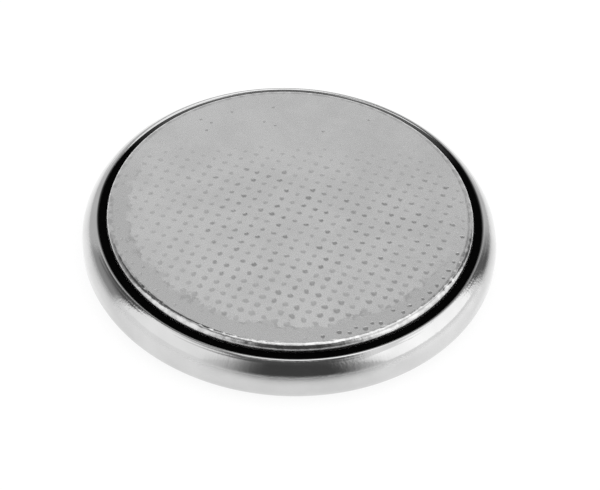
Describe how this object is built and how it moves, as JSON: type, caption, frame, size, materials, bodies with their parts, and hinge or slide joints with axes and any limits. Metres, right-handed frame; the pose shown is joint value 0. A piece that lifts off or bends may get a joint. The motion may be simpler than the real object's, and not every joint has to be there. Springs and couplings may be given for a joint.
{
  "type": "lithium coin cell",
  "caption": "Round flat lithium coin cell with a crimped steel can, a black plastic seal and a dimpled steel cap.",
  "frame": {"origin": "centre of the can's base, the face that the cell stands on", "axes": "+Z along the cell's axis, from the positive can's base to the negative cap's face"},
  "size_m": [0.02, 0.02, 0.0025],
  "materials": {
    "can_steel": "bright drawn steel with nickel plating",
    "gasket_plastic": "black moulded polypropylene",
    "cap_steel": "satin steel, embossed with a grid of small pits",
    "lithium_metal": "soft grey metal foil",
    "separator_felt": "white non-woven plastic felt",
    "cathode_powder": "pressed black powder",
    "grid_steel": "pierced steel foil"
  },
  "bodies": {
    "root": {"positive_can": "can_steel", "gasket": "gasket_plastic", "negative_cap": "cap_steel", "lithium_anode": "lithium_metal", "separator": "separator_felt", "cathode_pellet": "cathode_powder", "collector_grid": "grid_steel"}
  },
  "joints": []
}
